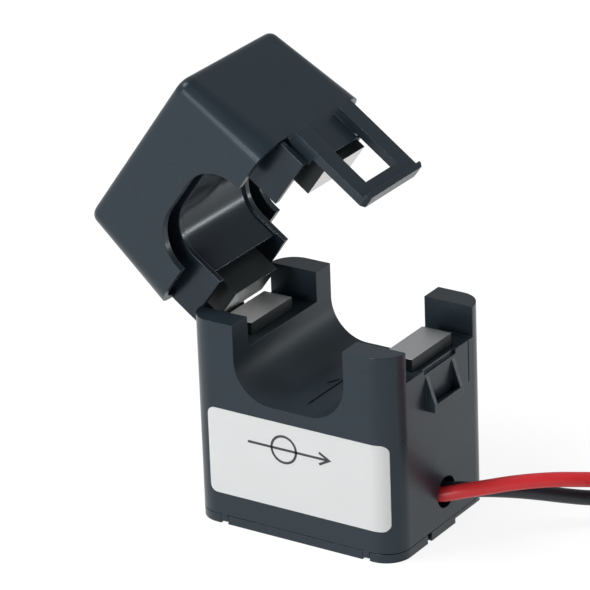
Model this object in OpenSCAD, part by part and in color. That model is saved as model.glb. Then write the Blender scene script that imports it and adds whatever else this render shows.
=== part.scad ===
// Split-core clamp-on current transformer. The lid half stands open on its hinge.
// Origin: centre of the standing face. X runs across the conductor window, from the hinge to the
// latch. Y runs along the conductor. Z is up. Millimetres.

/* [Body] */
// Width of the body, across the window
body_w = 45; // [44:0.5:60]
// Depth of the body, along the conductor
body_d = 34; // [28:0.5:44]
// Height of the corner posts above the standing face
body_h = 41.65; // [41:0.05:50]
// Radius of the upright corners
corner_r = 5; // [3:0.25:6]
// Thickness of the moulded walls
wall = 1.5; // [1.2:0.05:1.8]
// Depth of each corner post, front to back
post_d = 5.1; // [4:0.1:6.2]
// Height of the deck between the posts
deck_h = 35.5; // [34:0.1:36.5]
// Thickness of the bottom cover
cover_t = 1.8; // [1.2:0.1:2.2]

/* [Window] */
// Width of the conductor window
window_w = 24.2; // [20:0.1:24.6]
// Radius of the window's corners
window_r = 8; // [5:0.25:9.5]
// Height of the window's floor above the standing face
window_floor = 26.7; // [25.6:0.1:28]

/* [Core] */
// Space between a core's two legs
core_gap = 29; // [28.6:0.1:29.2]
// Width of each leg, and height of the lower yoke
leg_w = 6.3; // [5:0.1:6.4]
// Depth of the core, along the conductor
core_d = 14; // [11:0.5:17]
// Height of the lower pole faces above the deck
pole_rise = 2.4; // [1.5:0.1:3]
// Height of the lower yoke's underside
yoke_z = 10.5; // [10:0.1:11]
// How far the upper core is pushed into the lid as it closes
core_travel = 4.8; // [2.5:0.1:5]
// Thickness of the upper core's yoke
upper_yoke_t = 4.1; // [3.5:0.1:4.3]

/* [Lid] */
// Angle at which the lid stands open
lid_open = 54.2; // [0:0.1:56]
// Height of the lid's moulded cover
lid_h = 21.3; // [21:0.1:26]
// How much narrower each side wall is at the top
side_taper = 2.7; // [0:0.1:3]
// How much nearer the front and rear walls are at the top
face_taper = 1.15; // [0:0.05:1.5]
// Radius of the round edge between the lid's roof and its walls
lid_edge_r = 1.6; // [0.4:0.1:2]
// Half the width of the arch cut in the front and rear walls
arch_half_w = 11.7; // [9.5:0.1:12]
// Height of the arch above the lid's rim
arch_h = 8.65; // [8.2:0.05:9]
// How far the holder's flanges reach below the rim
flange_drop = 6; // [3:0.1:6.1]

/* [Latch] */
// Half the width of the latch loop
loop_half_w = 9.4; // [8.5:0.1:10]
// Half the width of the loop's hole
hole_half_w = 5.4; // [5.2:0.1:6]
// Thickness of the loop
loop_t = 1.8; // [1.4:0.1:2.2]
// How far the catch stands out of the wall
catch_out = 1.85; // [1.5:0.05:2.6]

/* [Leads] */
// Diameter of each lead over its insulation
lead_d = 2.9; // [2.5:0.1:2.95]
// Radius of the lead hole in the side wall
lead_hole_r = 3.15; // [3.1:0.05:3.4]

/* [Hidden] */
$fn = 64;

// Clearances and small shared sizes
fit = 0.15;
slide_fit = 0.2;
near = 0.1;
cut = 1;
half_w = body_w / 2;
half_d = body_d / 2;
inner_r = corner_r - wall;
post_in = half_d - post_d;

// Core heights and widths
core_w = core_gap + 2 * leg_w;
core_r_out = 4;
core_r_in = 0.5;
pole_z = deck_h + pole_rise;
yoke_mid_z = yoke_z + leg_w / 2;

// Lid heights, in the closed position
rim_z = body_h + fit;
lid_top_z = rim_z + lid_h;
lid_top_t = 1.4;
arch_z = rim_z + arch_h;
flange_z = rim_z - flange_drop;
flange_t = 1.2;
flange_out = post_in - slide_fit;
flange_in = flange_out - flange_t;
plate_rim = 0.5;
liner_t = 0.8;
liner_half_w = arch_half_w + liner_t;
liner_z = arch_z + 1;
liner_end_z = pole_z + 0.3;
over_open_fit = 0.6;
upper_yoke_z = liner_z + core_travel + over_open_fit;
upper_core_top = upper_yoke_z + upper_yoke_t;

// Hinge, beside the left wall
hinge_r = 1.85;
hinge_out = 3.45;
hinge_x = -half_w - hinge_out;
hinge_z = body_h - 6.6;
pin_r = 0.75;
pin_run_fit = 0.05;
pin_seat_fit = 0.01;
lug_half_w = 2.4;
arm_in = 2.65;
arm_out = 5;

// Latch loop and its catch, on the right
loop_gap = 0.2;
loop_x = half_w + loop_gap;
loop_bottom_z = 22.5;
loop_hole_z = 26;
loop_top_z = rim_z - 0.65;
tongue_z = deck_h - 0.75;
tongue_t = 0.4;
catch_z = 27.1;
catch_lip_z = 28.6;
catch_top_z = 34.1;
catch_half_w = hole_half_w - 0.3;
catch_t = 1;

// Side label
label_t = 0.14;
glue_t = 0.02;
label_r = 1.5;
label_left = -18.4;
label_right = half_w - 1.6;
label_low = 6.5;
label_high = 24.1;

// Bobbin and winding round the lower yoke
bobbin_half_l = core_gap / 2 - 0.5;
bobbin_t = 0.9;
flange_thick = 1;
bobbin_flange_w = 24;
bobbin_flange_h = 18;
winding_w = 21;
winding_h = 15;
tape_t = 0.2;

// Leads where they leave the right wall
hole_y = 1.2;
hole_z = 7.9;
lead_r = lead_d / 2;
tail_r = 0.25;

// Route of each lead from inside the base to its coil: straight through the wall, then free
red_route = [
    [15.5, -0.8, 7.8], [18, -0.8, 7.8], [20.5, -0.6, 7.8], [22.5, -0.3, 8], [24.5, 0.4, 8.5],
    [27, 1.6, 9.1], [30, 3.6, 9.6], [33.5, 6.1, 10.1], [37, 8.8, 10.3], [40.5, 11.6, 10.2],
    [44, 14.5, 9.8], [47.5, 17.4, 9.4], [51, 20.3, 9.3], [54.5, 23.1, 9.7],
    [58.2, 26.2, 10.2], [62.3, 29.6, 10.3]
];
black_route = [
    [15.5, 2.2, 7.8], [18, 2.2, 7.8], [20.5, 2.4, 7.8], [22.5, 2.8, 7.8], [24.5, 3.6, 7.9],
    [27, 5, 7.8], [30, 7, 7.6], [33.5, 9.3, 7.2], [37, 11.6, 6.6], [40.5, 13.9, 5.9],
    [44, 16.2, 5.3], [47.5, 18.7, 5], [51, 21.2, 5.2], [54.5, 23.7, 5.9],
    [58.2, 26.4, 6.7], [62.3, 29.6, 7.3]
];
lead_sides = 8;

// Coils of the stored length, one on the other
coil_x = 74.6;
coil_y = 14.6;
coil_turn_r = 16.5;
coil_turns_wide = 3;
coil_turns_high = 3;
coil_w = coil_turns_wide * lead_d;
coil_h = coil_turns_high * lead_d;

// Colours
plastic = [0.1, 0.12, 0.14];
holder_plastic = [0.14, 0.15, 0.17];
steel = [0.72, 0.72, 0.74];
copper = [0.75, 0.42, 0.22];
natural = [0.85, 0.83, 0.76];

// ---- Shared shapes ----

// A flat rectangle with round corners, about the origin
module rounded_rect(w, d, r) {
    square([w - 2 * r, d], center = true);
    square([w, d - 2 * r], center = true);
    for (x = [-1, 1], y = [-1, 1])
        translate([x * (w / 2 - r), y * (d / 2 - r)])
            circle(r);
}

// A flat trough, open upwards, with round lower corners
module trough(w, low, r, high) {
    intersection() {
        translate([-w / 2, low])
            square([w, high - low]);
        union() {
            translate([-w / 2, low + r])
                square([w, max(high - low - r, 0)]);
            translate([-w / 2 + r, low])
                square([w - 2 * r, high - low]);
            for (side = [-1, 1])
                translate([side * (w / 2 - r), low + r])
                    circle(r);
        }
    }
}

// A flat arch, open downwards, with round upper corners
module arch(w, high, r, low) {
    mirror([0, 1])
        trough(w, -high, r, -low);
}

// Stands a flat X-Z outline up and gives it a depth along Y
module along_y(depth, y = 0) {
    translate([0, y + depth / 2, 0])
        rotate([90, 0, 0])
            linear_extrude(depth)
                children();
}

// Stands a flat Y-Z outline up and gives it a length along X, from x
module along_x(length, x) {
    translate([x, 0, 0])
        rotate([90, 0, 90])
            linear_extrude(length)
                children();
}

// A box between two corners
module span(low, high) {
    translate(low)
        cube(high - low);
}

// Turns a piece of the closed lid about the hinge to the angle at which the lid stands
module opened() {
    translate([hinge_x, 0, hinge_z])
        rotate([0, -lid_open, 0])
            translate([-hinge_x, 0, -hinge_z])
                children();
}

// A cylinder along Y on the hinge's axis
module on_hinge(r, half_l) {
    translate([hinge_x, half_l, hinge_z])
        rotate([90, 0, 0])
            cylinder(h = 2 * half_l, r = r);
}

// ---- Base ----

// The housing's foot: a seam above the cover, and tabs that snap into notches in its edge
seam = 0.15;
tab_x = [-15.7, 15.9];
tab_w = 1.4;
tab_z = 0.5;

module tabs(grow, low, high) {
    for (x = tab_x, y = [-1, 1])
        translate([x - tab_w / 2 - grow, y * (half_d - wall / 2) - wall / 2 - grow, low])
            cube([tab_w + 2 * grow, wall + 2 * grow, high - low]);
}

// The catch: two sloping fins, and a ledge between them that the loop's crossbar snaps under
fin_in = catch_half_w - catch_t;
ledge_x = half_w + catch_out;
ledge_floor_t = 0.7;

module catch_fin() {
    polygon([[half_w - wall / 2, catch_z], [ledge_x, catch_z], [ledge_x, catch_lip_z],
        [half_w, catch_top_z], [half_w - wall / 2, catch_top_z]]);
}

module catch_ledge() {
    polygon([[half_w - wall / 2, catch_z], [ledge_x, catch_z], [ledge_x, catch_lip_z],
        [ledge_x - catch_t + 0.2, catch_lip_z], [ledge_x - catch_t, catch_z + ledge_floor_t],
        [half_w - wall / 2, catch_z + ledge_floor_t]]);
}

module hinge_lug() {
    difference() {
        union() {
            on_hinge(hinge_r, lug_half_w);
            along_y(2 * lug_half_w)
                polygon([[-half_w + wall / 2, hinge_z - 8], [-half_w, hinge_z - 8],
                    [hinge_x - 1.2, hinge_z - 1.4], [hinge_x, hinge_z], [hinge_x, hinge_z + hinge_r],
                    [-half_w + wall / 2, hinge_z + hinge_r - 1.4]]);
        }
        on_hinge(pin_r + pin_run_fit, lug_half_w + cut);
    }
}

groove_y = 10.2;
groove_w = 0.3;
groove_depth = 0.3;
groove_z = 27;

module base_shell() {
    difference() {
        translate([0, 0, cover_t + seam])
            linear_extrude(body_h - cover_t - seam)
                rounded_rect(body_w, body_d, corner_r);
        // conductor window
        along_y(body_d + 2 * cut)
            trough(window_w, window_floor, window_r, body_h + cut);
        // space between the front and rear posts
        span([-half_w - cut, -post_in, deck_h], [half_w + cut, post_in, body_h + cut]);
        // hollow inside, under the deck and the window
        difference() {
            translate([0, 0, cover_t - cut])
                linear_extrude(deck_h - wall - cover_t + cut)
                    rounded_rect(body_w - 2 * wall, body_d - 2 * wall, inner_r);
            along_y(body_d)
                trough(window_w + 2 * wall, window_floor - wall, window_r + wall, body_h);
        }
        // openings for the two poles
        for (side = [-1, 1])
            translate([side * (core_gap + leg_w) / 2, 0, deck_h - wall - cut])
                linear_extrude(wall + 2 * cut)
                    square([leg_w + 2 * slide_fit, core_d + 2 * slide_fit], center = true);
        // lead hole
        translate([half_w - wall - cut, hole_y, hole_z])
            rotate([0, 90, 0])
                cylinder(h = wall + 2 * cut, r = lead_hole_r);
        // seat for the end of the latch's tongue
        span([half_w - tongue_t - fit, -hole_half_w - slide_fit, tongue_z - fit],
            [half_w + cut, hole_half_w + slide_fit, deck_h + cut]);
        // groove down the latch side
        span([half_w - groove_depth, groove_y - groove_w / 2, groove_z],
            [half_w + cut, groove_y + groove_w / 2, deck_h + cut]);
    }
}

module base_housing() {
    color(plastic) {
        base_shell();
        tabs(0, tab_z, cover_t + 2 * seam);
        for (side = [-1, 1])
            along_y(catch_t, side * (fin_in + catch_t / 2))
                catch_fin();
        along_y(2 * fin_in)
            catch_ledge();
        hinge_lug();
    }
}

module bottom_cover() {
    lip_h = 2.2;
    lip_t = 1.1;
    cradle_w = 3;
    cradle_d = 9;
    pry_depth = 1;
    pry_h = 1.2;
    pry_y = 4.3;
    notch_w = 1.4;
    color(plastic) {
        difference() {
            linear_extrude(cover_t)
                rounded_rect(body_w, body_d, corner_r);
            tabs(near, -cut, cover_t + cut);
            // relief along the foot of the latch side, and a notch, to pry the cover off
            span([half_w - pry_depth, pry_y, -cut], [half_w + cut, half_d, pry_h]);
            span([half_w - pry_depth, -pry_y - notch_w, -cut], [half_w + cut, -pry_y, cover_t + cut]);
        }
        translate([0, 0, cover_t])
            linear_extrude(lip_h)
                difference() {
                    rounded_rect(body_w - 2 * wall - 2 * fit, body_d - 2 * wall - 2 * fit,
                        inner_r - fit);
                    rounded_rect(body_w - 2 * wall - 2 * fit - 2 * lip_t,
                        body_d - 2 * wall - 2 * fit - 2 * lip_t, inner_r - fit - lip_t);
                }
        // cradles that carry the lower core
        for (side = [-1, 1], y = [-1, 1])
            translate([side * core_gap / 2 - cradle_w / 2 + side * cradle_w / 2,
                y * (core_d / 2) - cradle_d / 4, 0])
                cube([cradle_w, cradle_d / 2, yoke_z - near]);
    }
}

module side_label() {
    color([0.93, 0.93, 0.92])
        intersection() {
            difference() {
                translate([0, 0, label_low])
                    linear_extrude(label_high - label_low)
                        rounded_rect(body_w + 2 * label_t, body_d + 2 * label_t, corner_r + label_t);
                translate([0, 0, label_low - cut])
                    linear_extrude(label_high - label_low + 2 * cut)
                        rounded_rect(body_w + 2 * glue_t, body_d + 2 * glue_t, corner_r + glue_t);
            }
            along_y(corner_r + label_t, -half_d + (corner_r - label_t) / 2)
                translate([(label_left + label_right) / 2, (label_low + label_high) / 2])
                    rounded_rect(label_right - label_left, label_high - label_low, label_r);
        }
}

// ---- Core and winding ----

module lower_core() {
    color(steel)
        along_y(core_d)
            difference() {
                trough(core_w, yoke_z, core_r_out, pole_z);
                trough(core_gap, yoke_z + leg_w, core_r_in, pole_z + cut);
            }
}

// A rectangular tube round the yoke, between two planes either side of the middle
module round_yoke(half_l, w, h, r, grow) {
    along_x(2 * half_l, -half_l)
        translate([0, yoke_mid_z])
            difference() {
                rounded_rect(w, h, r);
                square([core_d + 2 * grow, leg_w + 2 * grow], center = true);
            }
}

module bobbin() {
    notch = 1;
    color(natural)
        difference() {
            union() {
                round_yoke(bobbin_half_l, core_d + 2 * slide_fit + 2 * bobbin_t,
                    leg_w + 2 * slide_fit + 2 * bobbin_t, 1, slide_fit);
                for (side = [-1, 1])
                    translate([side * (bobbin_half_l - flange_thick / 2), 0, 0])
                        round_yoke(flange_thick / 2, bobbin_flange_w, bobbin_flange_h, 2,
                            slide_fit);
            }
            for (y = [red_route[0][1], black_route[0][1]])
                translate([bobbin_half_l - flange_thick - cut, y, red_route[0][2]])
                    rotate([0, 90, 0])
                        cylinder(h = flange_thick + 2 * cut, r = notch / 2);
        }
}

winding_half_l = bobbin_half_l - flange_thick - near;

module secondary_winding() {
    color(copper)
        round_yoke(winding_half_l, winding_w, winding_h, 3, slide_fit + bobbin_t + near);
}

module winding_tape() {
    color([0.9, 0.75, 0.2])
        along_x(2 * winding_half_l - near, -winding_half_l + near / 2)
            translate([0, yoke_mid_z])
                difference() {
                    rounded_rect(winding_w + 2 * tape_t, winding_h + 2 * tape_t, 3 + tape_t);
                    rounded_rect(winding_w, winding_h, 3);
                }
}

// ---- Leads ----

sleeve_r = lead_r - 0.05;
sleeve_x = bobbin_half_l + 0.3;

// A straight wire end from the winding into its splice
module winding_tail(route) {
    color(copper)
        translate([winding_half_l, route[0][1], route[0][2]])
            rotate([0, 90, 0])
                cylinder(h = route[0][0] - winding_half_l, r = tail_r);
}

// A shrunk sleeve over the splice at a lead's inner end
module splice_sleeve(route) {
    translate([sleeve_x, route[0][1], route[0][2]])
        rotate([0, 90, 0])
            difference() {
                cylinder(h = route[0][0] - sleeve_x, r = sleeve_r);
                translate([0, 0, -cut])
                    cylinder(h = route[0][0] - sleeve_x + 2 * cut, r = tail_r + 0.02);
            }
}

module start_tail() { winding_tail(red_route); }
module finish_tail() { winding_tail(black_route); }
module red_splice_sleeve() { color("darkred") splice_sleeve(red_route); }
module black_splice_sleeve() { color("dimgray") splice_sleeve(black_route); }

// A clip on both leads, behind the wall, that takes the pull
module lead_grip() {
    grip_t = 1.6;
    grip_x = half_w - wall - near - grip_t - 1.2;
    color(natural)
        along_x(grip_t, grip_x)
            difference() {
                translate([(red_route[0][1] + black_route[0][1]) / 2, red_route[0][2] - 0.2])
                    rounded_rect(8.4, 4.8, 1.5);
                for (y = [red_route[1][1], black_route[1][1]])
                    translate([y, red_route[0][2]])
                        circle(lead_r + slide_fit);
            }
}

// The ring of points round a route's point i, square to the way the route runs there
function heading(route, i) =
    let (ahead = route[min(i + 1, len(route) - 1)], behind = route[max(i - 1, 0)])
    (ahead - behind) / norm(ahead - behind);
function ring(route, i, r) =
    let (way = heading(route, i), side = cross([0, 0, 1], way) / norm(cross([0, 0, 1], way)),
        up = cross(way, side))
    [for (k = [0:lead_sides - 1])
        route[i] + r * (cos(360 * k / lead_sides) * side + sin(360 * k / lead_sides) * up)];

// A tube that follows a route
module lead(route) {
    rings = len(route);
    points = [for (i = [0:rings - 1]) each ring(route, i, lead_r)];
    walls = [for (i = [0:rings - 2], k = [0:lead_sides - 1])
        let (next = (k + 1) % lead_sides)
        [i * lead_sides + k, (i + 1) * lead_sides + k, (i + 1) * lead_sides + next,
            i * lead_sides + next]];
    first = [for (k = [0:lead_sides - 1]) k];
    last = [for (k = [lead_sides - 1:-1:0]) (rings - 1) * lead_sides + k];
    polyhedron(points, concat(walls, [first, last]));
}

module red_lead() { color("red") lead(red_route); }
module black_lead() { color("black") lead(black_route); }

// The outer shape of one coil of lead, standing on z
module lead_coil(z) {
    translate([coil_x, coil_y, z])
        rotate_extrude()
            translate([coil_turn_r, coil_h / 2])
                rounded_rect(coil_w, coil_h, lead_r);
}

module red_lead_coil() { color("red") lead_coil(coil_h + near); }
module black_lead_coil() { color("black") lead_coil(0); }

// ---- Lid, drawn closed and turned open ----

// Half the width of the lid at a height, less an inset
function lid_half_w(z, inset) = half_w - inset - side_taper * (z - rim_z) / lid_h;

// A block with the lid's tapering outline between two heights, its upper edge rounded by r
module lid_block(inset, low, high, r) {
    slab = 0.01;
    edge_step = 18;
    levels = [[0, low + slab], for (a = [0:edge_step:90]) [r * (1 - cos(a)), high - r + r * sin(a)]];
    hull()
        for (level = levels)
            translate([0, 0, level[1] - slab])
                linear_extrude(slab)
                    lid_outline(inset + level[0], (level[1] - rim_z) / lid_h);
}

module lid_outline(inset, share) {
    corner_loss = 1.9;
    rounded_rect(body_w - 2 * inset - 2 * side_taper * share,
        body_d - 2 * inset - 2 * face_taper * share,
        max(corner_r - inset - corner_loss * share, 1));
}

loop_chamfer = 0.8;

// Flat outline of the loop's lower end, up to a height, with its corners cut off
module loop_end(high) {
    low = loop_bottom_z + loop_chamfer;
    polygon([[-loop_half_w, high], [-loop_half_w, low], [-loop_half_w + loop_chamfer, loop_bottom_z],
        [loop_half_w - loop_chamfer, loop_bottom_z], [loop_half_w, low], [loop_half_w, high]]);
}

module latch_loop() {
    lip_h = 1.2;
    lip_out = 0.9;
    plate_z = deck_h + fit;
    // plate in line with the end wall, and the tongue that seats on the wall below
    span([half_w - wall, -loop_half_w, plate_z], [half_w, loop_half_w, rim_z + 0.3]);
    span([half_w - tongue_t, -hole_half_w, tongue_z], [half_w, hole_half_w, rim_z]);
    // arms joined to the plate, and the loop below them
    for (side = [-1, 1])
        mirror([0, side < 0 ? 1 : 0, 0])
            span([half_w - wall / 2, hole_half_w, plate_z],
                [loop_x + loop_t, loop_half_w, loop_top_z]);
    along_x(loop_t, loop_x)
        difference() {
            loop_end(loop_top_z);
            translate([-hole_half_w, loop_hole_z])
                square([2 * hole_half_w, loop_top_z - loop_hole_z + cut]);
        }
    // lip that a fingertip lifts
    along_x(lip_out, loop_x + loop_t)
        loop_end(loop_bottom_z + lip_h);
}

module hinge_arms() {
    for (side = [-1, 1])
        difference() {
            union() {
                along_y(arm_out - arm_in, side * (arm_in + arm_out) / 2)
                    arm_outline();
                translate([hinge_x, side * (arm_in + arm_out) / 2 + (arm_out - arm_in) / 2, hinge_z])
                    rotate([90, 0, 0])
                        cylinder(h = arm_out - arm_in, r = hinge_r);
            }
            on_hinge(pin_r + pin_seat_fit, arm_out + cut);
        }
}

module arm_outline() {
    polygon([[hinge_x - hinge_r, hinge_z], [hinge_x + hinge_r, hinge_z],
        [hinge_x + hinge_r, rim_z + 0.4], [-half_w + wall / 2, rim_z + 0.4],
        [-half_w + wall / 2 + 0.3, rim_z + 6], [-half_w + 0.5, rim_z + 6],
        [hinge_x - hinge_r, rim_z + 1]]);
}

module lid_cover() {
    inner_edge_r = 0.2;
    color(plastic)
        opened() {
            difference() {
                lid_block(0, rim_z, lid_top_z, lid_edge_r);
                lid_block(wall, rim_z - cut, lid_top_z - lid_top_t, inner_edge_r);
                along_y(body_d + 2 * cut)
                    arch(2 * arch_half_w, arch_z, window_r, rim_z - cut);
            }
            latch_loop();
            hinge_arms();
        }
}

// Flat outline of the holder's front and rear plates: flanges below the rim, and a part above it
// that fits the lid's walls
module holder_plate() {
    flange_end_x = half_w - 0.4;
    shell_gap = 0.6;
    plate_top_z = liner_z + 1.2;
    low_x = lid_half_w(rim_z, wall + shell_gap);
    high_x = lid_half_w(plate_top_z, wall + shell_gap);
    translate([-flange_end_x, flange_z])
        square([2 * flange_end_x, rim_z - near - flange_z]);
    polygon([[-low_x, flange_z], [low_x, flange_z], [low_x, rim_z], [high_x, plate_top_z],
        [-high_x, plate_top_z], [-low_x, rim_z]]);
}

// The liner of the lid's arch, between two plates whose flanges drop between the posts
module core_holder() {
    guide_t = 1;
    guide_in = core_d / 2 + slide_fit;
    guide_inset = 2.5;
    end_x = half_w - wall - 0.6;
    ledge_z = rim_z + 1.2;
    ledge_t = 1.2;
    ledge_d = body_d - 2 * wall - 3 * slide_fit;
    corner_x = arch_half_w + 5;
    color(holder_plastic)
        opened()
            difference() {
                union() {
                    along_y(2 * flange_out)
                        arch(2 * liner_half_w, liner_z, window_r + liner_t, liner_end_z);
                    for (side = [-1, 1])
                        along_y(flange_t, side * (flange_out - flange_t / 2))
                            holder_plate();
                    // ledge round the core's legs, which reaches the shell at its four corners
                    translate([0, 0, ledge_z])
                        linear_extrude(ledge_t)
                            difference() {
                                rounded_rect(2 * end_x, ledge_d, inner_r);
                                for (side = [-1, 1]) {
                                    translate([0, side * (flange_out + body_d / 2)])
                                        square([2 * corner_x, body_d], center = true);
                                    translate([side * (core_gap + leg_w) / 2, 0])
                                        square([leg_w + 2 * slide_fit, core_d + 2 * slide_fit],
                                            center = true);
                                }
                            }
                    // guides in front of and behind the core's legs
                    for (side = [-1, 1])
                        along_y(guide_t, side * (guide_in + guide_t / 2))
                            translate([-end_x + guide_inset, ledge_z])
                                square([2 * (end_x - guide_inset), liner_z - ledge_z]);
                }
                along_y(2 * flange_in)
                    arch(2 * (liner_half_w - liner_t), liner_z - liner_t, window_r, flange_z - cut);
                along_y(body_d)
                    arch(2 * (liner_half_w - liner_t - plate_rim), liner_z - liner_t - plate_rim,
                        window_r - plate_rim, flange_z - cut);
            }
}

module hinge_pin() {
    color(steel)
        opened()
            on_hinge(pin_r, arm_out);
}

// Upper core, drawn closed and let down by its travel
module upper_core() {
    top_half_w = min(lid_half_w(lid_top_z, wall + 0.4), core_w / 2 - 0.5);
    color(steel)
        opened()
            translate([0, 0, -core_travel])
                along_y(core_d)
                    difference() {
                        polygon([[-core_w / 2, pole_z], [core_w / 2, pole_z],
                            [core_w / 2, rim_z], [top_half_w + 0.5, upper_core_top - 2],
                            [top_half_w - 1.5, upper_core_top], [-top_half_w + 1.5, upper_core_top],
                            [-top_half_w - 0.5, upper_core_top - 2], [-core_w / 2, rim_z]]);
                        arch(core_gap, upper_yoke_z, core_r_in, pole_z - cut);
                    }
}

// A bowed leaf between the upper yoke and the lid's roof
module core_spring() {
    leaf_t = 0.4;
    leaf_w = 8;
    rise = lid_top_z - lid_top_t - near - upper_core_top + core_travel - near - leaf_t;
    half_l = 12;
    bow_r = (half_l * half_l + rise * rise) / (2 * rise);
    color(steel)
        opened()
            translate([0, 0, upper_core_top - core_travel + near])
                along_y(leaf_w)
                    intersection() {
                        translate([0, rise - bow_r])
                            difference() {
                                circle(bow_r + leaf_t, $fn = 180);
                                circle(bow_r, $fn = 180);
                            }
                        translate([-half_l, 0])
                            square([2 * half_l, rise + cut]);
                    }
}

base_housing();
bottom_cover();
side_label();
lower_core();
bobbin();
secondary_winding();
winding_tape();
start_tail();
finish_tail();
red_splice_sleeve();
black_splice_sleeve();
lead_grip();
red_lead();
black_lead();
red_lead_coil();
black_lead_coil();
lid_cover();
core_holder();
hinge_pin();
core_spring();
upper_core();
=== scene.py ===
# %% [markdown]
# # A split-core clamp-on current transformer
# The moulded base, the lid, the two steel cores and the hinge come ready-made from the packed
# frame, at their real size. This lesson adds what the frame leaves plain: the two flying
# leads at their full length, their ties, the leaf spring and the marks, the finish of every
# surface, and the camera and studio to look at them in.

# %% Load the frame
import math

import bmesh
import bpy
from mathutils import Matrix, Vector


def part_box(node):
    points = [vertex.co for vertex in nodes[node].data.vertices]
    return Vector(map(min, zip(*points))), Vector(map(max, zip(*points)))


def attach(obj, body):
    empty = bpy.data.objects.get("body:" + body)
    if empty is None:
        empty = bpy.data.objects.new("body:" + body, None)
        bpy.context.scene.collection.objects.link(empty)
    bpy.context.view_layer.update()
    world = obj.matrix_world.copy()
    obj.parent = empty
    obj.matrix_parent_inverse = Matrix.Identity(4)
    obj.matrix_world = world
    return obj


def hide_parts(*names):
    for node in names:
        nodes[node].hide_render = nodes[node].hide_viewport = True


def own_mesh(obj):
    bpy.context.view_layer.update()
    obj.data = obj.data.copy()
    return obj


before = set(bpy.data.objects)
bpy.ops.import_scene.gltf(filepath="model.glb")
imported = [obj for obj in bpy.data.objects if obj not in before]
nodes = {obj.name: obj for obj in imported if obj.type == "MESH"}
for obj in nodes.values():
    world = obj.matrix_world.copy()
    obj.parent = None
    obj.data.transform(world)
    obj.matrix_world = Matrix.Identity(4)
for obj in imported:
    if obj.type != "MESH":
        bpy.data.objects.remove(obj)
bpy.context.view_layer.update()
MM = 0.001

# %% [markdown]
# ## Camera
# A thing this small is best looked at from about 0.8 m with a long lens, so that its walls
# stay nearly parallel. The camera is placed by plain angles round the point it looks at,
# and its slight roll is set the same way, which keeps it easy to move.

# %% Camera
AIM = Vector((-0.0091, 0.0, 0.0421))
AZIMUTH = math.radians(33.7)
ELEVATION = math.radians(23.35)
ROLL = math.radians(-2.17)
DISTANCE = 0.787
LENS = 255.4
NEAREST, FARTHEST = 0.05, 20


def camera_axes(azimuth, elevation, roll):
    """The camera's right, up and backward directions."""
    back = Vector((math.sin(azimuth) * math.cos(elevation),
                   -math.cos(azimuth) * math.cos(elevation), math.sin(elevation)))
    level = Vector((0, 0, 1)).cross(back).normalized()
    upright = back.cross(level)
    right = math.cos(roll) * level + math.sin(roll) * upright
    return right, back.cross(right), back


right, up, back = camera_axes(AZIMUTH, ELEVATION, ROLL)
camera_data = bpy.data.cameras.new("product_camera")
camera_data.lens = LENS
camera_data.clip_start = NEAREST
camera_data.clip_end = FARTHEST
camera = bpy.data.objects.new("product_camera", camera_data)
bpy.context.scene.collection.objects.link(camera)
turn = Matrix((right, up, back)).transposed().to_4x4()
camera.matrix_world = Matrix.Translation(AIM + DISTANCE * back) @ turn
bpy.context.scene.camera = camera
print("camera at", [round(c, 4) for c in camera.location])

# %% [markdown]
# ## The lead's line
# Each lead is a limp stranded wire, 2.9 mm over its insulation and 0.9 m long. It leaves the
# hole in the side wall, runs free past the edge of the view, and the rest is wound into a neat
# coil, red on black. The free stretch could be simulated as a rope, but a list of points
# given in millimetres and smoothed with a spline is quicker to steer. The coil is
# worked out: nine places in the bundle, three by three. A turn stays in its place almost all
# the way round, and eases to the next place over the last few degrees.

# %% Smooth a given route
LEAD_D = 2.9 * MM
RED_ROUTE = [
    (15.5, -0.8, 7.8), (18, -0.8, 7.8), (20.5, -0.6, 7.8), (22.5, -0.3, 8), (24.5, 0.4, 8.5),
    (27, 1.6, 9.1), (30, 3.6, 9.6), (33.5, 6.1, 10.1), (37, 8.8, 10.3), (40.5, 11.6, 10.2),
    (44, 14.5, 9.8), (47.5, 17.4, 9.4), (51, 20.3, 9.3), (54.5, 23.1, 9.7),
    (58.2, 26.2, 10.2), (62.3, 29.6, 10.3)]
BLACK_ROUTE = [
    (15.5, 2.2, 7.8), (18, 2.2, 7.8), (20.5, 2.4, 7.8), (22.5, 2.8, 7.8), (24.5, 3.6, 7.9),
    (27, 5, 7.8), (30, 7, 7.6), (33.5, 9.3, 7.2), (37, 11.6, 6.6), (40.5, 13.9, 5.9),
    (44, 16.2, 5.3), (47.5, 18.7, 5), (51, 21.2, 5.2), (54.5, 23.7, 5.9),
    (58.2, 26.4, 6.7), (62.3, 29.6, 7.3)]


def spline(points, steps):
    """A smooth line through the points, with so many steps between two of them."""
    points = [Vector(p) for p in points]
    ends = [2 * points[0] - points[1], *points, 2 * points[-1] - points[-2]]
    line = []
    for before, start, end, after in zip(ends, ends[1:], ends[2:], ends[3:]):
        for k in range(steps):
            t = k / steps
            line.append(0.5 * ((2 * start) + (end - before) * t
                               + (2 * before - 5 * start + 4 * end - after) * t ** 2
                               + (3 * start - before - 3 * end + after) * t ** 3))
    return line + [points[-1]]


print("points placed by hand:", len(RED_ROUTE), "and", len(BLACK_ROUTE))

# %% Wind the coil
COIL_CENTRE = Vector((74.6, 14.6, 0)) * MM
COIL_MID_R = 16.5 * MM
SIDE = 3
ENTRY_ANGLE = math.radians(129)
STEP_ANGLE = math.radians(40)
TURN_STEPS = 40


def coil_places(low, entry_high):
    """The nine places of a turn in the bundle, (radius, height), in winding order."""
    places = []
    for column in range(SIDE):
        rows = range(SIDE)
        if (column % 2 == 0) == entry_high:
            rows = reversed(rows)
        radius = COIL_MID_R + (1 - column) * LEAD_D
        places += [(radius, low + (row + 0.5) * LEAD_D) for row in rows]
    return places


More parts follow.
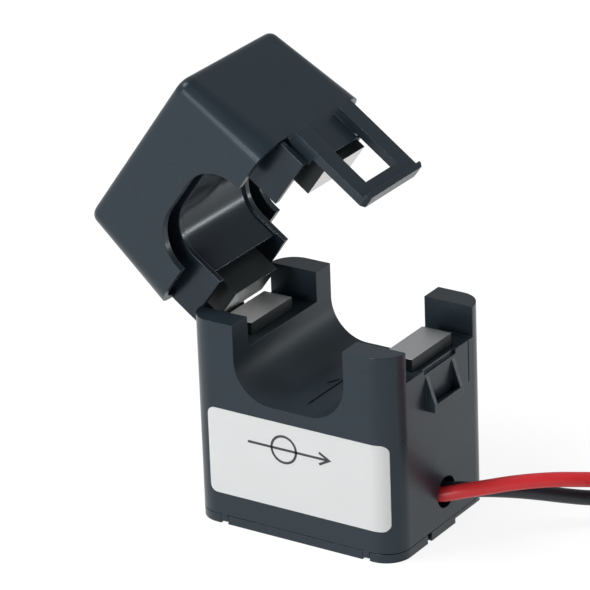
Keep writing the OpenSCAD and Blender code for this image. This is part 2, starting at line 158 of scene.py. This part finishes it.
def wound(places, last_angle):
    """The points of a coil that fills the places in order, clockwise seen from above."""
    line = []
    spacing = 2 * math.pi - STEP_ANGLE
    angle = 0.0
    while angle < last_angle:
        passed = angle / spacing
        k = min(int(passed), len(places) - 1)
        share = min(max(((angle - (k + 1) * spacing) + STEP_ANGLE) / STEP_ANGLE, 0), 1)
        share = share * share * (3 - 2 * share)
        here, there = places[k], places[min(k + 1, len(places) - 1)]
        radius, height = (a + (b - a) * share for a, b in zip(here, there))
        at = ENTRY_ANGLE - angle
        line.append(COIL_CENTRE + Vector((radius * math.cos(at), radius * math.sin(at), height)))
        angle += 2 * math.pi / TURN_STEPS
    return line


print("places in a bundle:", len(coil_places(0, True)))

# %% [markdown]
# ## A wire from its line
# Blender's curve bevel would give a round wire at once, but it twists where a line turns in
# space, and a coil turns all the way. So the wire is swept here: at each point stands a ring
# square to the line, turned as little as possible from the ring before. Its bare end is a
# second, thinner wire that carries on from the insulation.

# %% Sweep a round wire along its line
def swept_tube(name, line, radius, sides):
    """A closed round tube along a line of points, turned so that it never twists."""
    rings = []
    across = None
    for i, point in enumerate(line):
        way = (line[min(i + 1, len(line) - 1)] - line[max(i - 1, 0)]).normalized()
        if across is None:
            across = way.orthogonal()
        across = (across - across.dot(way) * way).normalized()
        beside = way.cross(across)
        rings.append([point + radius * (math.cos(a) * across + math.sin(a) * beside)
                      for a in (2 * math.pi * k / sides for k in range(sides))])
    verts = [v for ring in rings for v in ring]
    faces = [(i * sides + k, i * sides + (k + 1) % sides, (i + 1) * sides + (k + 1) % sides,
              (i + 1) * sides + k) for i in range(len(rings) - 1) for k in range(sides)]
    faces.append(tuple(reversed(range(sides))))
    faces.append(tuple(len(verts) - sides + k for k in range(sides)))
    mesh = bpy.data.meshes.new(name)
    mesh.from_pydata(verts, [], faces)
    mesh.polygons.foreach_set("use_smooth", [True] * (len(faces) - 2) + [False] * 2)
    piece = bpy.data.objects.new(name, mesh)
    bpy.context.scene.collection.objects.link(piece)
    return piece


# %% A whole lead
FREE_STEPS = 5
COIL_END_ANGLE = math.radians(8 * 360 - 20)
INSULATION_SIDES = 20
STRANDS_R = 0.75 * MM
STRANDS_SIDES = 12
STRANDS_START = 0.5 * MM
STRANDS_POINTS = 8


def make_lead(name, route, low, entry_high, nodes_replaced):
    """One lead: its free stretch, its coil, and the bare tinned end."""
    free = spline([Vector(p) * MM for p in route], FREE_STEPS)
    turns = wound(coil_places(low, entry_high), COIL_END_ANGLE)
    line = free[:-1] + turns
    piece = swept_tube(name, line, LEAD_D / 2, INSULATION_SIDES)
    way = (line[-1] - line[-2]).normalized()
    tip_line = [line[-1] - STRANDS_START * way + way * (k * MM) for k in range(STRANDS_POINTS)]
    tip = swept_tube(name + "_bare_end", tip_line, STRANDS_R, STRANDS_SIDES)
    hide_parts(*nodes_replaced)
    for part in (piece, tip):
        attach(part, "base")
    return piece, tip


# %% [markdown]
# ## Ribbons: ties, a spring and flat marks
# Several small parts are one shape: a line in a plane, with a width in that plane and a
# thickness out of it. A cable tie is a closed line, the leaf spring a bowed one, and a printed
# or moulded arrow two straight ones. One helper makes them all, from real points and not from
# scaled primitives, so each keeps an even section.

# %% Helper for ribbons
SHARP_ANGLE = math.radians(35)
MITRE_LIMIT = 0.4


def ribbon(name, lines, width, depth, place):
    """Strips of even width along flat lines, (points, closed), with a depth out of the plane."""
    verts, faces = [], []
    for points, closed in lines:
        points = [Vector(p) for p in points]
        first, count = len(verts), len(points)
        for i, point in enumerate(points):
            before = points[i - 1] if i or closed else point
            after = points[(i + 1) % count] if i < count - 1 or closed else point
            ways = [w.normalized() for w in (point - before, after - point) if w.length]
            way = sum(ways, Vector((0, 0))).normalized()
            reach = width / 2 / max(way.dot(ways[0]), MITRE_LIMIT)
            side = Vector((-way.y, way.x)) * reach
            for edge, level in ((side, 0), (side, depth), (-side, depth), (-side, 0)):
                verts.append(Vector((*(point + edge), level)))
        for i in range(count if closed else count - 1):
            a, b = first + 4 * i, first + 4 * ((i + 1) % count)
            faces += [(a + k, a + (k + 1) % 4, b + (k + 1) % 4, b + k) for k in range(4)]
        if not closed:
            last = first + 4 * (count - 1)
            faces += [tuple(first + k for k in (3, 2, 1, 0)), tuple(last + k for k in range(4))]
    mesh = bpy.data.meshes.new(name)
    mesh.from_pydata([place @ v for v in verts], [], faces)
    shape = bmesh.new()
    shape.from_mesh(mesh)
    bmesh.ops.recalc_face_normals(shape, faces=shape.faces)
    shape.to_mesh(mesh)
    shape.free()
    mesh.polygons.foreach_set("use_smooth", [True] * len(mesh.polygons))
    mesh.set_sharp_from_angle(angle=SHARP_ANGLE)
    piece = bpy.data.objects.new(name, mesh)
    bpy.context.scene.collection.objects.link(piece)
    print(name, "has", len(mesh.polygons), "faces")
    return piece


def plane_frame(origin, across, upward):
    """The matrix of a plane: its first and second directions, and the one out of it."""
    across, upward = Vector(across).normalized(), Vector(upward).normalized()
    axes = Matrix((across, upward, across.cross(upward))).transposed().to_4x4()
    return Matrix.Translation(Vector(origin)) @ axes


def arc_points(centre, radius, start, end, steps):
    """Points along an arc, its angles in degrees."""
    angles = (math.radians(start + (end - start) * k / steps) for k in range(steps + 1))
    return [(centre[0] + radius * math.cos(a), centre[1] + radius * math.sin(a)) for a in angles]


# %% [markdown]
# ## Coil ties
# A stored lead is held by thin nylon ties. Each passes once round both coils, so it is a
# rounded rectangle that stands across the bundle.

# %% Make the ties
TIE_T = 0.5 * MM
TIE_W = 2.6 * MM
TIE_ANGLES = (20, 215)
BUNDLE_TOP = 17.5 * MM
BUNDLE_HALF_W = SIDE * LEAD_D / 2
CORNER_STEPS = 8


def rounded_loop(low, high, radius):
    """The corner points of a rounded rectangle, as a closed line."""
    line = []
    for centre, start in (((high[0] - radius, high[1] - radius), 0),
                          ((low[0] + radius, high[1] - radius), 90),
                          ((low[0] + radius, low[1] + radius), 180),
                          ((high[0] - radius, low[1] + radius), 270)):
        line += arc_points(centre, radius, start, start + 90, CORNER_STEPS)
    return line


tie_line = rounded_loop((COIL_MID_R - BUNDLE_HALF_W - TIE_T / 2, TIE_T / 2),
                        (COIL_MID_R + BUNDLE_HALF_W + TIE_T / 2, BUNDLE_TOP + TIE_T / 2),
                        LEAD_D / 2 + TIE_T / 2)
ties = []
for number, degrees in enumerate(TIE_ANGLES):
    around = math.radians(degrees)
    outward = Vector((math.cos(around), math.sin(around), 0))
    tangent = outward.cross(Vector((0, 0, 1)))
    place = plane_frame(COIL_CENTRE - tangent * TIE_W / 2, outward, (0, 0, 1))
    ties.append(ribbon(f"coil_tie_{number + 1}", [(tie_line, True)], TIE_T, TIE_W, place))
    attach(ties[-1], "base")

# %% [markdown]
# ## The two leads
# Each is swept along its whole line, so its free stretch and its turns are one wire, and ends
# in a short bare end of tinned strands.

# %% Make the leads
RED_COIL_LOW = 8.8 * MM
red_lead, red_tip = make_lead("red_flying_lead", RED_ROUTE, RED_COIL_LOW, False,
                              ["red_lead", "red_lead_coil"])
black_lead, black_tip = make_lead("black_flying_lead", BLACK_ROUTE, 0, True,
                                  ["black_lead", "black_lead_coil"])

# %% [markdown]
# ## The leaf spring
# A bowed strip of spring steel sits between the lid's roof and the upper core, and presses the
# core onto the lower poles when the lid shuts. It flattens as the core is pushed in. A rigid
# strip would be cut by the core.

# %% Make the leaf spring
LID_OPEN = math.radians(54.2)
LID_UP = Vector((-math.sin(LID_OPEN), 0, math.cos(LID_OPEN)))
LID_ACROSS = Vector((math.cos(LID_OPEN), 0, math.sin(LID_OPEN)))
LEAF_T = 0.4 * MM
LEAF_W = 8 * MM
LEAF_STEPS = 24


def along(node, direction):
    """How far a node reaches along a direction, (lowest, highest)."""
    reach = [v.co.dot(direction) for v in nodes[node].data.vertices]
    return min(reach), max(reach)


leaf_low, leaf_high = along("core_spring", LID_UP)
leaf_left, leaf_right = along("core_spring", LID_ACROSS)
leaf_half_l = (leaf_right - leaf_left) / 2
leaf_rise = leaf_high - leaf_low - LEAF_T
bow_r = (leaf_half_l ** 2 + leaf_rise ** 2) / (2 * leaf_rise)
bow_angle = math.degrees(math.asin(leaf_half_l / bow_r))
leaf_line = arc_points((0, leaf_rise - bow_r + LEAF_T / 2), bow_r,
                       90 + bow_angle, 90 - bow_angle, LEAF_STEPS)
leaf_origin = (leaf_low * LID_UP + (leaf_left + leaf_half_l) * LID_ACROSS
               + Vector((0, LEAF_W / 2, 0)))
core_leaf = ribbon("core_leaf_spring", [(leaf_line, False)], LEAF_T, LEAF_W,
                   plane_frame(leaf_origin, LID_ACROSS, LID_UP))
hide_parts("core_spring")
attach(core_leaf, "lid")
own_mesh(core_leaf)
print("leaf rises", round(leaf_rise / MM, 2), "mm")

# %% [markdown]
# ## Arrows
# Such a sensor has an arrow moulded in the floor of its channel and one printed on the label,
# because the sign of its output depends on which way the current runs. Both are plain strokes:
# the moulded one stands proud, the printed one is a thin film of ink round the sign of a
# conductor through a ring.

# %% Make the arrows
MARK_W = 0.55 * MM
MARK_H = 0.22 * MM
INK_W = 0.5 * MM
INK_T = 0.03 * MM
LABEL_FACE_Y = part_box("side_label")[0].y
WINDOW_FLOOR = 26.7 * MM
BARB_SPREAD = 0.55
LABEL_MID_Z = 18.8 * MM
RING_X = -1.5 * MM
RING_R = 2.7 * MM
RING_STEPS = 40


def arrow(tail, tip, head):
    """The strokes of an arrow between two points of a plane, its head so long."""
    tail, tip = Vector(tail), Vector(tip)
    way = (tip - tail).normalized()
    side = Vector((-way.y, way.x)) * BARB_SPREAD
    return [([tail, tip - way * MARK_W], False),
            ([tip - head * (way + side), tip, tip - head * (way - side)], False)]


floor_arrow = ribbon(
    "channel_arrow", arrow((0.8 * MM, -12.2 * MM), (0.8 * MM, 1.2 * MM), 3.4 * MM),
    MARK_W, MARK_H, plane_frame((0, 0, WINDOW_FLOOR), (1, 0, 0), (0, 1, 0)))
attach(floor_arrow, "base")
ring_line = arc_points((RING_X, LABEL_MID_Z), RING_R, 0, 360 - 360 / RING_STEPS, RING_STEPS - 1)
label_arrow = arrow((-9.5 * MM, LABEL_MID_Z), (8.5 * MM, LABEL_MID_Z), 2.2 * MM)
label_mark = ribbon("label_mark", [(ring_line, True)] + label_arrow, INK_W, INK_T,
                    plane_frame((0, LABEL_FACE_Y + INK_T / 3, 0), (1, 0, 0), (0, 0, 1)))
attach(label_mark, "base")

# %% [markdown]
# ## Shared effects
# Moulded plastic, ground steel and soft insulation all need a fine texture that changes the
# colour, the gloss and the bump a little. It could be built anew in each material, but then a
# change has to be made in each. So every effect is a shader node group with named inputs,
# built once and placed in each material with that material's own values. Two more groups
# put out masks, for the parts of a moulding or a core that are finished another way.

# %% Helper to build a node group
def new_group(name, inputs, outputs):
    """A shader node group with those named sockets, (name, type, default)."""
    group = bpy.data.node_groups.new(name, "ShaderNodeTree")
    for socket_name, kind, default in inputs:
        socket = group.interface.new_socket(socket_name, in_out="INPUT", socket_type=kind)
        socket.default_value = default
    for socket_name, kind in outputs:
        group.interface.new_socket(socket_name, in_out="OUTPUT", socket_type=kind)
    return group, group.nodes.new("NodeGroupInput"), group.nodes.new("NodeGroupOutput")


def math_node(tree, operation, first, second):
    """A Math node whose inputs are numbers or sockets."""
    node = tree.nodes.new("ShaderNodeMath")
    node.operation = operation
    for socket, value in zip(node.inputs, (first, second)):
        if isinstance(value, bpy.types.NodeSocket):
            tree.links.new(value, socket)
        else:
            socket.default_value = value
    return node.outputs[0]


# %% Fine grain
FLOAT = "NodeSocketFloat"
COLOR = "NodeSocketColor"


def build_fine_grain():
    """A fine even texture as a height, and a broad one that varies the colour and gloss."""
    group, inputs, outputs = new_group(
        "fine_grain",
        [("Grain Size", FLOAT, 0.0004), ("Patch Size", FLOAT, 0.01),
         ("Colour", COLOR, (0.5, 0.5, 0.5, 1)), ("Colour Change", FLOAT, 0.1),
         ("Roughness", FLOAT, 0.5), ("Roughness Change", FLOAT, 0.1)],
        [("Colour", COLOR), ("Roughness", FLOAT), ("Height", FLOAT)])
    place = group.nodes.new("ShaderNodeTexCoord").outputs["Object"]

    def noise(size_name, detail):
        node = group.nodes.new("ShaderNodeTexNoise")
        node.inputs["Detail"].default_value = detail
        group.links.new(place, node.inputs["Vector"])
        group.links.new(math_node(group, "DIVIDE", 1.0, inputs.outputs[size_name]),
                        node.inputs["Scale"])
        return node.outputs["Fac"]

    grain = noise("Grain Size", 3)
    patch = math_node(group, "SUBTRACT", noise("Patch Size", 4), 0.5)
    gain = math_node(group, "ADD", math_node(
        group, "MULTIPLY", patch, inputs.outputs["Colour Change"]), 1.0)
    tint = group.nodes.new("ShaderNodeVectorMath")
    tint.operation = "SCALE"
    group.links.new(inputs.outputs["Colour"], tint.inputs[0])
    group.links.new(gain, tint.inputs["Scale"])
    drift = math_node(group, "MULTIPLY", patch, inputs.outputs["Roughness Change"])
    rough = math_node(group, "ADD", drift, inputs.outputs["Roughness"])
    group.links.new(tint.outputs[0], outputs.inputs["Colour"])
    group.links.new(rough, outputs.inputs["Roughness"])
    group.links.new(grain, outputs.inputs["Height"])
    return group


FINE_GRAIN = build_fine_grain()
print("group:", FINE_GRAIN.name)


# %% Masks for a polished area and for a ground face
VECTOR = "NodeSocketVector"


def vector_math(tree, operation, first, second):
    """A Vector Math node between two sockets."""
    node = tree.nodes.new("ShaderNodeVectorMath")
    node.operation = operation
    tree.links.new(first, node.inputs[0])
    tree.links.new(second, node.inputs[1])
    return node


def build_inside_box():
    """1 inside a box given by its two corners in the piece's own space, else 0."""
    group, inputs, outputs = new_group(
        "inside_box", [("Low", VECTOR, (0, 0, 0)), ("High", VECTOR, (0, 0, 0))],
        [("Mask", FLOAT)])
    place = group.nodes.new("ShaderNodeTexCoord").outputs["Object"]
    above = vector_math(group, "SUBTRACT", place, inputs.outputs["Low"]).outputs[0]
    below = vector_math(group, "SUBTRACT", inputs.outputs["High"], place).outputs[0]
    least = vector_math(group, "MINIMUM", above, below).outputs[0]
    axes = group.nodes.new("ShaderNodeSeparateXYZ")
    group.links.new(least, axes.inputs[0])
    smallest = math_node(group, "MINIMUM", math_node(
        group, "MINIMUM", axes.outputs[0], axes.outputs[1]), axes.outputs[2])
    group.links.new(math_node(group, "GREATER_THAN", smallest, 0.0), outputs.inputs["Mask"])
    return group


def build_facing():
    """1 where the surface faces a direction of the piece's own space, else 0."""
    group, inputs, outputs = new_group(
        "facing", [("Direction", VECTOR, (0, 0, 1)), ("Least", FLOAT, 0.9)], [("Mask", FLOAT)])
    normal = group.nodes.new("ShaderNodeTexCoord").outputs["Normal"]
    dot = vector_math(group, "DOT_PRODUCT", normal, inputs.outputs["Direction"]).outputs["Value"]
    group.links.new(math_node(group, "GREATER_THAN", dot, inputs.outputs["Least"]),
                    outputs.inputs["Mask"])
    return group


INSIDE_BOX = build_inside_box()
FACING = build_facing()
print("groups:", INSIDE_BOX.name, FACING.name)


# %% A material on the fine grain
GRAIN_SIZE = 0.3 * MM
GRAIN_DEPTH = 0.04 * MM
PATCH_SIZE = 10 * MM
BEVEL_SAMPLES = 8


def new_material(name, colour, roughness, colour_change=0.12, roughness_change=0.12,
                 bump=0.2, edge=0.2 * MM, **principled):
    """A Principled material whose colour, gloss and bump come from the fine grain."""
    material = bpy.data.materials.new(name)
    material.use_nodes = True
    tree = material.node_tree
    shader = tree.nodes["Principled BSDF"]
    effect = tree.nodes.new("ShaderNodeGroup")
    effect.node_tree = FINE_GRAIN
    for socket, value in (("Grain Size", GRAIN_SIZE), ("Patch Size", PATCH_SIZE),
                          ("Colour", (*colour, 1)), ("Colour Change", colour_change),
                          ("Roughness", roughness), ("Roughness Change", roughness_change)):
        effect.inputs[socket].default_value = value
    relief = tree.nodes.new("ShaderNodeBump")
    relief.inputs["Strength"].default_value = bump
    relief.inputs["Distance"].default_value = GRAIN_DEPTH
    tree.links.new(effect.outputs["Height"], relief.inputs["Height"])
    if edge:
        rounded = tree.nodes.new("ShaderNodeBevel")
        rounded.samples = BEVEL_SAMPLES
        rounded.inputs["Radius"].default_value = edge
        tree.links.new(rounded.outputs["Normal"], relief.inputs["Normal"])
    tree.links.new(effect.outputs["Colour"], shader.inputs["Base Color"])
    tree.links.new(effect.outputs["Roughness"], shader.inputs["Roughness"])
    tree.links.new(relief.outputs["Normal"], shader.inputs["Normal"])
    for socket, value in principled.items():
        shader.inputs[socket.replace("_", " ")].default_value = value
    return material


def mask_node(material, group, **values):
    """A mask group placed in a material with its own values."""
    node = material.node_tree.nodes.new("ShaderNodeGroup")
    node.node_tree = group
    for socket, value in values.items():
        node.inputs[socket].default_value = value
    return node.outputs["Mask"]


MIX_NUMBERS = (2, 3, 0)
MIX_COLOURS = (6, 7, 2)


def finish_where(material, mask, roughness, colour=None, metallic=None):
    """Gives the part of a material under the mask another roughness, colour and metal."""
    tree = material.node_tree
    shader = tree.nodes["Principled BSDF"]

    def change(socket_name, kind, value, slots):
        """Mixes a value in by the mask, through the Mix node's slots for that kind."""
        mix = tree.nodes.new("ShaderNodeMix")
        mix.data_type = kind
        socket = shader.inputs[socket_name]
        if socket.is_linked:
            tree.links.new(socket.links[0].from_socket, mix.inputs[slots[0]])
        else:
            mix.inputs[slots[0]].default_value = socket.default_value
        tree.links.new(mask, mix.inputs[0])
        mix.inputs[slots[1]].default_value = value
        tree.links.new(mix.outputs[slots[2]], socket)

    change("Roughness", "FLOAT", roughness, MIX_NUMBERS)
    if colour:
        change("Base Color", "RGBA", (*colour, 1), MIX_COLOURS)
    if metallic is not None:
        change("Metallic", "FLOAT", metallic, MIX_NUMBERS)


# %% [markdown]
# ## Moulded plastics
# The housing and the lid are nylon moulded in a spark-eroded tool: near black with a cold
# cast, satin and finely grained, with a gloss that drifts a little over each wall. The channel
# is duller, so a box mask gives it more roughness, where a second material would need faces
# cut along its border. The core holder comes from a polished tool and is the glossiest. The
# edges of a moulding are never quite sharp, and a Bevel node rounds them for the light only.

# %% Moulded plastics
COLD = (0.82, 0.93, 1.0, 1)
CHANNEL_LOW = (-12.2 * MM, -18 * MM, 26.6 * MM)
CHANNEL_HIGH = (12.2 * MM, 18 * MM, 42 * MM)
moulding = new_material("satin_black_moulding", (0.0185, 0.0275, 0.0365), 0.30,
                        roughness_change=0.2, Specular_IOR_Level=0.34, Specular_Tint=COLD)
channel = mask_node(moulding, INSIDE_BOX, Low=CHANNEL_LOW, High=CHANNEL_HIGH)
finish_where(moulding, channel, 0.45)
holder_moulding = new_material("smooth_black_moulding", (0.0130, 0.0205, 0.0295), 0.22,
                               bump=0.06, edge=0.28 * MM, Specular_IOR_Level=0.36,
                               Specular_Tint=COLD)
print("moulded:", moulding.name, "and", holder_moulding.name)

# %% [markdown]
# ## Cores
# The cores are wound steel under dark varnish, ground bright only on the poles. Two materials
# would need the poles' faces picked out, so one material changes from varnish to steel by
# the way the surface faces.

# %% Varnished cores with ground poles
POLE_STEEL = (0.62, 0.62, 0.615)


def core_finish(name, pole_direction):
    """Dark varnish, and bright ground steel where the surface faces the pole's direction."""
    material = new_material(name, (0.012, 0.017, 0.018), 0.42, colour_change=0.5, bump=0.3,
                            edge=0.12 * MM, Specular_IOR_Level=0.25)
    pole = mask_node(material, FACING, Direction=tuple(pole_direction))
    finish_where(material, pole, 0.34, POLE_STEEL, 1.0)
    return material


lower_core_finish = core_finish("lower_core_steel", (0, 0, 1))
upper_core_finish = core_finish("upper_core_steel", -LID_UP)
print("cores:", lower_core_finish.name, "and", upper_core_finish.name)

# %% [markdown]
# ## Label, leads and hidden parts
# The label is an off-white film, nearly even, with a slight gloss. The leads are soft PVC,
# smooth with a broad highlight, so they keep the grain but have no rounded edge. Inside the
# housing are natural nylon, copper under clear enamel, yellow tape and shrink sleeves, which
# only show when the part is taken apart.

# %% Label, leads and hidden parts
label_film = new_material("label_film", (0.68, 0.69, 0.69), 0.3, colour_change=0.02, edge=0,
                          bump=0.05)
ink = new_material("label_ink", (0.035, 0.037, 0.042), 0.4, edge=0)
nylon = new_material("natural_nylon", (0.75, 0.72, 0.62), 0.5)
enamel = new_material("enamelled_copper", (0.55, 0.22, 0.08), 0.3, Metallic=1.0, edge=0)
tape = new_material("polyester_tape", (0.7, 0.5, 0.06), 0.25, edge=0)
red_sleeve = new_material("red_shrink_sleeve", (0.3, 0.01, 0.01), 0.5, edge=0)
black_sleeve = new_material("black_shrink_sleeve", (0.02, 0.02, 0.02), 0.5, edge=0)
red_pvc = new_material("red_insulation", (0.70, 0.034, 0.040), 0.36, edge=0,
                       Specular_IOR_Level=0.4)
black_pvc = new_material("black_insulation", (0.019, 0.024, 0.030), 0.4, edge=0,
                         Specular_IOR_Level=0.4)
bright_steel = new_material("bright_pin_steel", (0.6, 0.6, 0.6), 0.25, Metallic=1.0, edge=0)
tinned = new_material("tinned_copper", (0.75, 0.75, 0.76), 0.3, Metallic=1.0, edge=0)
print("small parts:", [m.name for m in (label_film, ink, nylon, red_pvc, black_pvc, tinned)])

# %% Put the finishes on
NODE_FINISHES = {
    "base_housing": moulding, "bottom_cover": moulding, "lid_cover": moulding,
    "core_holder": holder_moulding, "side_label": label_film,
    "lower_core": lower_core_finish, "upper_core": upper_core_finish, "bobbin": nylon,
    "lead_grip": nylon, "secondary_winding": enamel, "start_tail": enamel,
    "finish_tail": enamel, "winding_tape": tape, "red_splice_sleeve": red_sleeve,
    "black_splice_sleeve": black_sleeve, "hinge_pin": bright_steel}


def coat(piece, material):
    """Puts one material on every face of a piece."""
    piece.data.materials.clear()
    piece.data.materials.append(material)


for name, material in NODE_FINISHES.items():
    coat(nodes[name], material)
coat(red_lead, red_pvc)
coat(black_lead, black_pvc)
for tip in (red_tip, black_tip):
    coat(tip, tinned)
for tie in ties:
    coat(tie, nylon)
coat(core_leaf, bright_steel)
coat(floor_arrow, moulding)
coat(label_mark, ink)
print("finishes:", len(bpy.data.materials))

# %% [markdown]
# ## Studio
# The object is nearly black, so its shape shows mostly by what it mirrors. An even white room
# would make every face the same grey. This room is light at the horizon, dimmer overhead, and
# nearly dark on one side, which draws the dark band beside the lid's corner.

# %% World
scene = bpy.context.scene
scene.view_settings.view_transform = "Standard"
HORIZON_LIGHT = 0.50
CEILING_LIGHT = 0.37
HORIZON_Z, CEILING_Z = 0.05, 0.6
DARK_SIDE = Vector((0.36, -0.42, 0.83)).normalized()
DARK_FROM, DARK_FULL = 0.6, 0.95
DARK_DEPTH = 0.95
ROOM_TINT = (0.95, 0.985, 1, 1)


def map_range(tree, value, from_low, from_high, to_low, to_high):
    """A smooth Map Range node on a socket."""
    node = tree.nodes.new("ShaderNodeMapRange")
    node.interpolation_type = "SMOOTHSTEP"
    tree.links.new(value, node.inputs[0])
    for k, limit in enumerate((from_low, from_high, to_low, to_high)):
        node.inputs[k + 1].default_value = limit
    return node.outputs[0]


world = bpy.data.worlds.new("studio")
scene.world = world
world.use_nodes = True
sky = world.node_tree
direction = sky.nodes.new("ShaderNodeTexCoord").outputs["Generated"]
height = sky.nodes.new("ShaderNodeSeparateXYZ")
sky.links.new(direction, height.inputs[0])
room = map_range(sky, height.outputs[2], HORIZON_Z, CEILING_Z, HORIZON_LIGHT, CEILING_LIGHT)
toward = sky.nodes.new("ShaderNodeVectorMath")
toward.operation = "DOT_PRODUCT"
sky.links.new(direction, toward.inputs[0])
toward.inputs[1].default_value = DARK_SIDE
shade = map_range(sky, toward.outputs["Value"], DARK_FROM, DARK_FULL, 1.0, 1.0 - DARK_DEPTH)
sky.links.new(math_node(sky, "MULTIPLY", room, shade),
              sky.nodes["Background"].inputs["Strength"])
sky.nodes["Background"].inputs["Color"].default_value = ROOM_TINT
print("room from", HORIZON_LIGHT, "to", CEILING_LIGHT)

# %% [markdown]
# ## Floor
# The background should be white, but a floor lit until it is white would burn out the label.
# So the floor is pale paper to the light that falls on it, and mostly a plain white glow to
# the camera and to mirrored and transmitted rays. The paper's share keeps the object's shadow.

# %% Floor
HALF_FLOOR = 6.0
FLOOR_COLOUR = (0.64, 0.64, 0.64, 1)
PAPER_ROUGHNESS = 0.9
WHITE_SHARE = 0.72
WHITE_STRENGTH = 1.22
floor_mesh = bpy.data.meshes.new("studio_floor")
floor_mesh.from_pydata([(-HALF_FLOOR, -HALF_FLOOR, 0), (HALF_FLOOR, -HALF_FLOOR, 0),
                        (HALF_FLOOR, HALF_FLOOR, 0), (-HALF_FLOOR, HALF_FLOOR, 0)], [],
                       [(0, 1, 2, 3)])
floor = bpy.data.objects.new("studio_floor", floor_mesh)
scene.collection.objects.link(floor)
floor_material = bpy.data.materials.new("studio_floor")
floor_material.use_nodes = True
paper = floor_material.node_tree
paper.nodes["Principled BSDF"].inputs["Base Color"].default_value = FLOOR_COLOUR
paper.nodes["Principled BSDF"].inputs["Roughness"].default_value = PAPER_ROUGHNESS
glow = paper.nodes.new("ShaderNodeEmission")
glow.inputs["Strength"].default_value = WHITE_STRENGTH
path = paper.nodes.new("ShaderNodeLightPath")
seen = math_node(paper, "MAXIMUM", math_node(
    paper, "MAXIMUM", path.outputs["Is Camera Ray"], path.outputs["Is Glossy Ray"]),
    path.outputs["Is Transmission Ray"])
blend = paper.nodes.new("ShaderNodeMixShader")
paper.links.new(math_node(paper, "MULTIPLY", seen, WHITE_SHARE), blend.inputs[0])
paper.links.new(paper.nodes["Principled BSDF"].outputs[0], blend.inputs[1])
paper.links.new(glow.outputs[0], blend.inputs[2])
paper.links.new(blend.outputs[0], paper.nodes["Material Output"].inputs["Surface"])
floor_mesh.materials.append(floor_material)
print("floor:", 2 * HALF_FLOOR, "m square")

# %% [markdown]
# ## Lamps
# A lamp above the left shoulder lights the leads and the tops. A weak one on the right opens
# the side wall. A narrow upright one low in front draws the bright line on the lid's corner,
# and a flat strip behind draws the one in the arch liner. Each is placed by two angles and
# aimed at the object, which is easier to steer than coordinates.

# %% Lamps
LAMP_DISTANCE = 1.2


def soft_lamp(name, azimuth, elevation, size, power):
    """A soft lamp, (width, height), aimed at the object from an azimuth and elevation."""
    data = bpy.data.lights.new(name, "AREA")
    data.shape = "RECTANGLE"
    data.size, data.size_y = size
    data.energy = power
    lamp = bpy.data.objects.new(name, data)
    scene.collection.objects.link(lamp)
    a, e = math.radians(azimuth), math.radians(elevation)
    away = Vector((math.sin(a) * math.cos(e), -math.cos(a) * math.cos(e), math.sin(e)))
    lamp.location = AIM + LAMP_DISTANCE * away
    lamp.rotation_euler = away.to_track_quat("Z", "Y").to_euler()
    lamp.visible_camera = False
    return lamp


soft_lamp("top_lamp", -50, 59, (0.5, 0.36), 10)
soft_lamp("side_lamp", 112, 30, (0.5, 0.4), 1.5)
soft_lamp("front_strip", -5, 12, (0.24, 0.42), 6.0)
soft_lamp("back_strip", 140, 3, (0.4, 0.07), 1.4)
